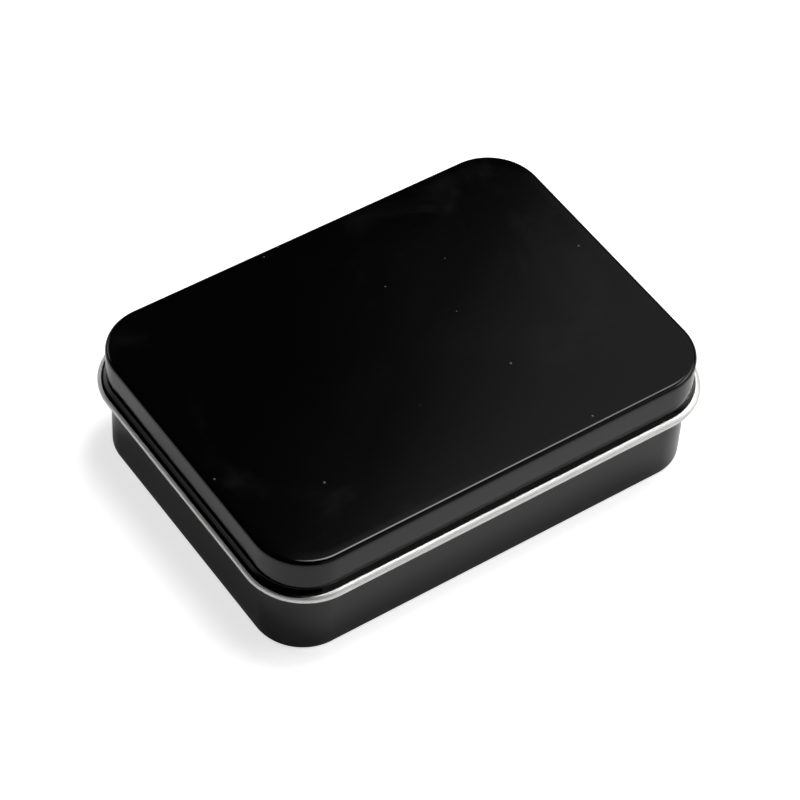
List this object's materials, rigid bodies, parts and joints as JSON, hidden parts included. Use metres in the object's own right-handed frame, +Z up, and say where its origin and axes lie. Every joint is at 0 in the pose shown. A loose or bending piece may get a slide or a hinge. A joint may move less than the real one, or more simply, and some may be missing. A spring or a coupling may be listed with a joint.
{
  "type": "hinged card tin",
  "caption": "Flat rectangular tin for a deck of cards, with rounded corners and a shallow lid on a rolled rim, hinged along its back.",
  "frame": {"origin": "on the ground under the middle of the closed tin", "axes": "+X along the long side, +Y towards the hinged back, +Z up"},
  "size_m": [0.1012, 0.0742, 0.0264],
  "materials": {
    "black_tinplate": "semi-gloss black coating outside, bare tinplate inside and on the rolled rim",
    "steel_wire": "drawn wire, bare"
  },
  "bodies": {
    "base": {"base_shell": "black_tinplate"},
    "lid": {"lid_shell": "black_tinplate", "hinge_wire_left": "steel_wire", "hinge_wire_right": "steel_wire"}
  },
  "joints": [
    {"name": "lid_hinge", "type": "hinge", "parent": "base", "child": "lid", "pos_m": [0, 0.0362, 0.0173], "axis": [-1, 0, 0], "range_deg": [0, 180]}
  ]
}
